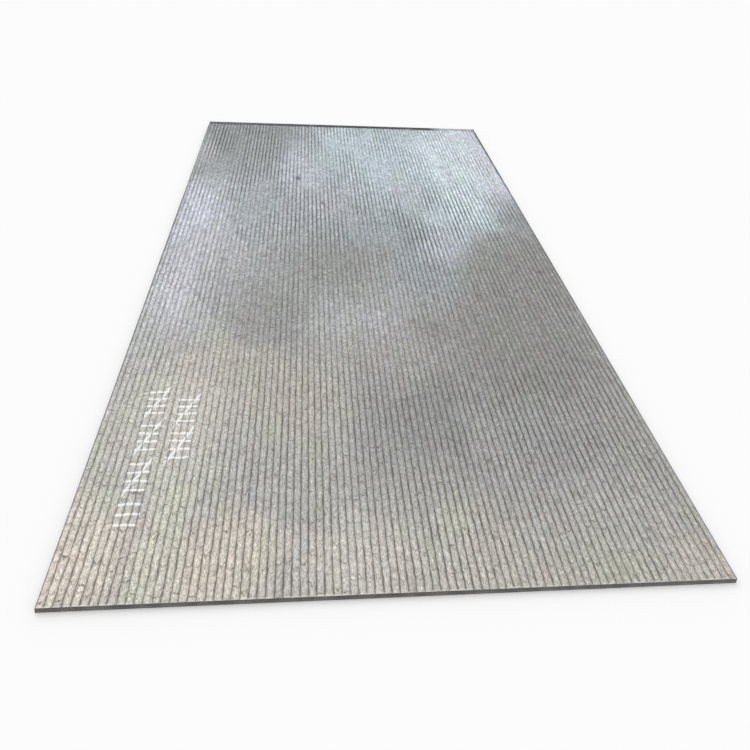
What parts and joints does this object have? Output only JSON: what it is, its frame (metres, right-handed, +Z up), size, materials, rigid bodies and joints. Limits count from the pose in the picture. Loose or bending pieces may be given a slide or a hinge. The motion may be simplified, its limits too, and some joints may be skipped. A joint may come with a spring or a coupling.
{
  "type": "hardfaced steel wear plate",
  "caption": "Flat steel wear plate: a rolled base plate with a hard weld overlay in long parallel beads, torch-cut on its edges, for lining chutes, hoppers and buckets.",
  "frame": {"origin": "centre of the underside, where the plate rests on the floor", "axes": "+Z up, out of the overlay; +Y along the beads, the plate's length; +X across the beads"},
  "size_m": [2.1, 3.5, 0.02],
  "materials": {
    "base_steel": "rolled mild steel with mill scale, torch-cut edges",
    "overlay_metal": "as-welded hard alloy, dull, dirty grooves and check cracks"
  },
  "bodies": {
    "root": {"base_plate": "base_steel", "hardface_overlay": "overlay_metal"}
  },
  "joints": []
}
